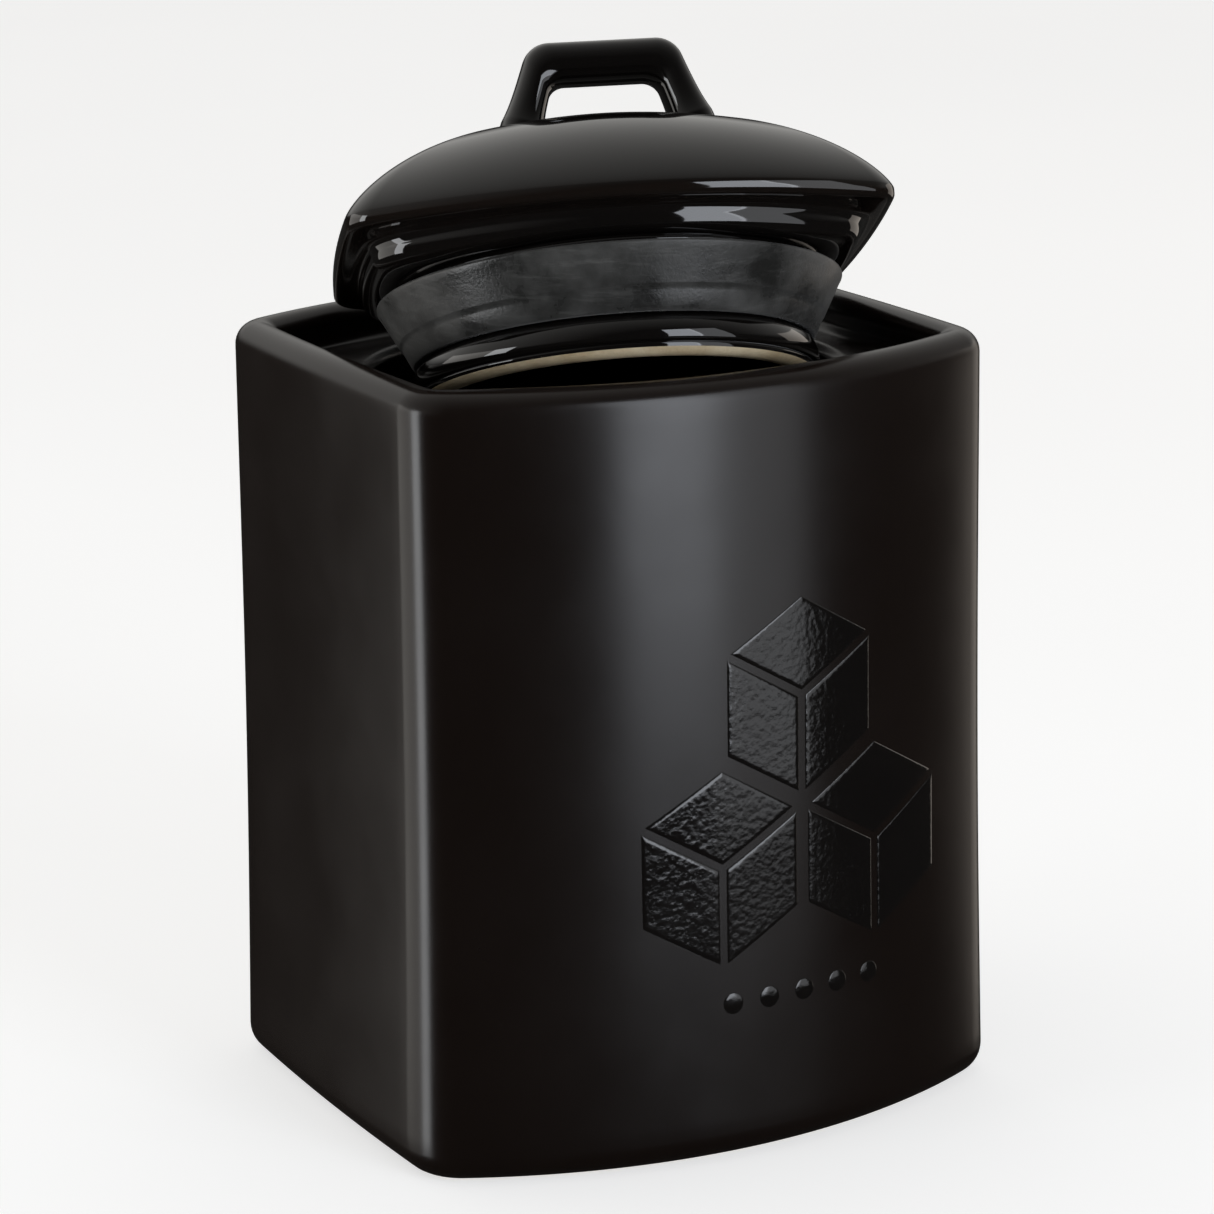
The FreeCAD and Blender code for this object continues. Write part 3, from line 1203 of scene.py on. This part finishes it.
@dataclass
class Plug:
    """Hollow plug with its retaining bead and bare foot, and the seal stretched round it.

    Levels are distances below the flange's underside.
    """

    lid: Lid
    waist: float = 14.0
    ease: float = 0.2
    top_inner: float = 1.0
    top_outer: float = 0.6
    neck: float = 36.6
    neck_end: float = 6.6
    neck_round: float = 0.3
    seat: float = 33.1
    seat_end: float = 17.6
    bead: float = 34.9
    bead_level: float = 20.2
    bead_steps: int = 15
    foot: float = 33.9
    foot_level: float = 22.4
    end: float = 24.4
    lip: float = 2.0
    lip_steps: int = 7
    bare_drop: float = 0.75
    seal_fit: float = 0.05
    seal_top: float = 6.64
    seal_radius: float = 40.3
    seal_edge: float = 0.8
    seal_round: float = 0.7
    seal_lean: float = 0.6
    seal_round_steps: int = 5
    seal_cone: Pair = (1.5, 0.3)
    seal_cone_steps: int = 6
    seal_step_at: float = 13.5
    seal_step: tuple[Pair, ...] = ((0.0, 0.0), (0.35, 0.12), (0.6, 0.9))
    seal_foot: float = 34.5
    seal_end: float = 17.3
    seal_toe: tuple[Pair, ...] = ((0.4, 0.7), (0.0, 0.15), (-0.2, 0.0))

    def glazed_profile(self) -> list[Pair]:
        """Profile of the glazed wall, from inside the foot up and round to the outside.

        Returns:
            Radius, height pairs.
        """
        bore, top, neck, ease = self.lid.bore, -self.lid.boss_height, self.neck, self.ease
        points = [
            (bore, -self.foot_level), (bore, -self.waist), (bore, top + ease), (bore + self.top_inner, top),
            (neck - self.top_outer, top), (neck, top - ease), (neck, -self.neck_end + ease),
            (neck - self.neck_round, -self.neck_end), (self.seat, -self.neck_end),
            (self.seat, -self.seat_end)]
        chord = np.array([(self.seat, -self.seat_end), (self.foot, -self.foot_level)])
        bulge = np.array([self.bead, -self.bead_level]) - chord.mean(0)
        for t in np.linspace(0, HALF_TURN, self.bead_steps)[1:]:
            s = (1 - math.cos(t)) / 2
            points.append(tuple(chord[0] * (1 - s) + chord[1] * s + bulge * math.sin(t)))
        return points

    def foot_profile(self) -> list[Pair]:
        """Profile of the bare, rounded foot, from the outside round to the inside.

        Returns:
            Radius, height pairs.
        """
        curve = rounding(self.lip, self.lip_steps)
        outside = [(self.foot - side, rise - self.end) for rise, side in curve]
        return outside + [(self.lid.bore + side, rise - self.end) for side, rise in curve]

    def seal_profile(self) -> list[Pair]:
        """Profile of the seal, with the fine step left by its mould.

        Returns:
            Radius, height pairs.
        """
        bore, radius, top = self.seat + self.seal_fit, self.seal_radius, self.seal_top
        slope = (radius - self.seal_foot) / (self.seal_end - top)
        points = [(bore, -self.seal_end), (bore, -top), (radius - self.seal_edge, -top)]
        for side, drop in rounding(self.seal_round, self.seal_round_steps):
            lean = slope * self.seal_lean * drop / self.seal_round
            points.append((radius - side - lean, -top - drop))
        start, stop = top + self.seal_cone[0], self.seal_step_at - self.seal_cone[1]
        points += [(radius - slope * (z - top), -z) for z in np.linspace(start, stop, self.seal_cone_steps)]
        step = radius - slope * (self.seal_step_at - top)
        points += [(step - side, -self.seal_step_at - drop) for side, drop in self.seal_step]
        return points + [(self.seal_foot + side, rise - self.seal_end) for side, rise in self.seal_toe]

    def build(self, finishes: Finishes) -> None:
        """Build and dress the plug, its foot and the seal.

        Args:
            finishes: every finish.
        """
        place = self.lid.pose()
        plug = lathe("lid_plug_wall", self.glazed_profile() + self.foot_profile(), place)
        mark_thin(plug)
        finish_piece(plug, finishes.gloss, Body.LID)
        plug.data.materials.append(finishes.bisque)
        heights = own_heights([p.center for p in plug.data.polygons], place)
        bare = heights < -self.foot_level - self.bare_drop
        plug.data.polygons.foreach_set("material_index", bare.astype(np.int32))
        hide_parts("lid_plug")
        seal = lathe("seal_cone", self.seal_profile(), place)
        finish_piece(seal, finishes.silicone, Body.LID)
        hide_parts("seal_ring")


# ---- studio


@dataclass(frozen=True)
class SoftBox:
    """A rectangular studio light that faces the object. Azimuth 0 is in front of it and 90 to its right."""

    name: str
    azimuth: float
    height: float
    width: float
    tall: float
    watts: float
    tint: Triple
    distance: float = 1.1
    highest_aim: float = 0.3

    def build(self) -> None:
        """Place the light."""
        lamp = bpy.data.lights.new(self.name, "AREA")
        lamp.shape = "RECTANGLE"
        lamp.size, lamp.size_y = self.width, self.tall
        lamp.energy = self.watts
        lamp.color = self.tint
        obj = new_object(self.name, lamp)
        angle = math.radians(self.azimuth)
        spot = Vector((math.sin(angle), -math.cos(angle), 0.0)) * self.distance
        spot.z = self.height
        obj.location = spot
        aim = Vector((0.0, 0.0, min(self.height, self.highest_aim))) - spot
        obj.rotation_euler = aim.to_track_quat("-Z", "Y").to_euler()
        obj.visible_camera = False


@dataclass
class Studio:
    """Pale floor, soft boxes, plain surroundings and the camera."""

    lens: float = 119.8
    sensor: float = 36.0
    clip_end: float = 50.0
    azimuth: float = -27.74
    elevation: float = 14.777
    roll: float = -0.698
    distance: float = 716.27
    aim: Triple = (0.0, 0.0, 75.0)
    across: float = 0.55
    down: float = 50.4
    frame_width: float = 1214.0
    floor_rings: Run = (400.0, 1500.0, 9000.0)
    floor_sides: int = 64
    floor_drop: float = 0.02
    floor_pale: Triple = (0.80, 0.80, 0.80)
    floor_paler: Triple = (0.83, 0.83, 0.83)
    floor_grain: float = 3.0
    grain_range: Pair = (0.3, 0.7)
    floor_rough: float = 0.9
    floor_shine: float = 0.1
    floor_glow: float = 0.62
    backdrop: float = 0.56
    behind_range: Pair = (-0.8, 0.8)
    above_range: Pair = (0.02, 0.2)
    room: float = 0.02
    room_tint: Triple = (1.0, 0.985, 0.95)
    boxes: tuple[SoftBox, ...] = (
        SoftBox("front_box", 11.0, 0.33, width=0.36, tall=1.04, watts=4.6, tint=(0.89, 0.93, 1.0)),
        SoftBox("front_spill", 29.0, 0.30, width=0.40, tall=1.10, watts=1.5, tint=(0.94, 0.96, 1.0)),
        SoftBox("left_box", -93.0, 0.0, width=0.30, tall=0.85, watts=3.4, tint=(0.96, 0.98, 1.0)),
        SoftBox("left_spill", -122.0, 0.0, width=0.85, tall=0.85, watts=2.3, tint=(1.0, 0.97, 0.92)),
        SoftBox("right_box", 100.0, 0.0, width=0.8, tall=0.9, watts=1.6, tint=(1.0, 0.9, 0.8),
                distance=1.3),
    )

    def camera(self) -> None:
        """Set the camera at the viewing angle."""
        a, e, r = (math.radians(v) for v in (self.azimuth, self.elevation, self.roll))
        back = Vector((math.sin(a) * math.cos(e), -math.cos(a) * math.cos(e), math.sin(e)))
        right = Vector((math.cos(a), math.sin(a), 0.0))
        up = back.cross(right)
        x_axis = right * math.cos(r) + up * math.sin(r)
        y_axis = up * math.cos(r) - right * math.sin(r)
        focal = self.lens / self.sensor * self.frame_width
        shift = x_axis * (self.across / focal) - y_axis * (self.down / focal)
        spot = Vector(self.aim) - (shift - back) * self.distance
        turn = Matrix((x_axis, y_axis, back)).transposed().to_4x4()
        lens = bpy.data.cameras.new("camera")
        lens.lens, lens.sensor_width, lens.clip_end = self.lens, self.sensor, self.clip_end
        camera = new_object("camera", lens)
        camera.matrix_world = Matrix.Translation(spot * MM) @ turn
        bpy.context.scene.camera = camera

    def floor(self) -> None:
        """Lay a pale floor that mirror-like reflections don't pick up."""
        t = np.linspace(0, FULL_TURN, self.floor_sides, endpoint=False)
        rings = [level(np.c_[np.cos(t), np.sin(t)] * r, -self.floor_drop) for r in self.floor_rings]
        outer = loft("floor", rings, Ends.OPEN)
        middle = mesh_object("floor_middle", rings[0], [tuple(range(self.floor_sides))])
        material, n, shader = new_material("pale_floor")
        grain = n.spread(n.noise(n.here(), self.floor_grain), self.grain_range)
        seen = n.add("ShaderNodeLightPath").outputs["Is Camera Ray"]
        n.fill(shader, {
            "Base Color": n.mix(grain, self.floor_pale, self.floor_paler),
            "Roughness": self.floor_rough,
            "Specular IOR Level": self.floor_shine,
            "Emission Color": (1.0, 1.0, 1.0, 1.0),
            "Emission Strength": n.times(seen, self.floor_glow),
        })
        for piece in (outer, middle):
            piece.data.materials.append(material)
            piece.visible_glossy = False
            piece.visible_shadow = False
            piece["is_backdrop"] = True

    def surroundings(self) -> None:
        """White surroundings to look at; to light by, a pale backdrop behind and overhead only."""
        world = bpy.data.worlds.new("studio")
        bpy.context.scene.world = world
        world.use_nodes = True
        world.node_tree.nodes.clear()
        n = Nodes(world.node_tree)
        way = n.add("ShaderNodeSeparateXYZ", {0: n.add("ShaderNodeTexCoord").outputs["Generated"]}).outputs
        behind, above = n.spread(way[1], self.behind_range), n.spread(way[2], self.above_range)
        sweep = n.times(n.times(behind, above), self.backdrop)
        lit = n.add("ShaderNodeBackground", {0: (*self.room_tint, 1.0), 1: n.plus(sweep, self.room)})
        seen = n.add("ShaderNodeBackground", {0: (1.0, 1.0, 1.0, 1.0), 1: 1.0})
        camera_ray = n.add("ShaderNodeLightPath").outputs["Is Camera Ray"]
        n.add("ShaderNodeOutputWorld", {0: n.add("ShaderNodeMixShader", {0: camera_ray, 1: lit, 2: seen})})

    def build(self) -> None:
        """Build the whole studio."""
        for box in self.boxes:
            box.build()
        self.floor()
        self.surroundings()
        self.camera()
        bpy.context.scene.view_settings.view_transform = "Standard"


def corners(bounds: tuple) -> list[list[float]]:
    """Two corners of a box as plain lists."""
    return [[float(v) for v in corner] for corner in bounds]


def main() -> None:
    """Build the jar, the motif, the lid and the studio, in that order."""
    logging.basicConfig(level=logging.INFO, format="%(message)s")
    cad = corners(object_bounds())
    finishes = Finishes.mixed()
    jar = Jar()
    jar.build(finishes)
    Motif(jar).build(finishes)
    Lid().build(finishes)
    Studio().build()
    bpy.context.view_layer.update()
    {"cad": cad, "visual": corners(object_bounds())}


if __name__ == "__main__":
    main()
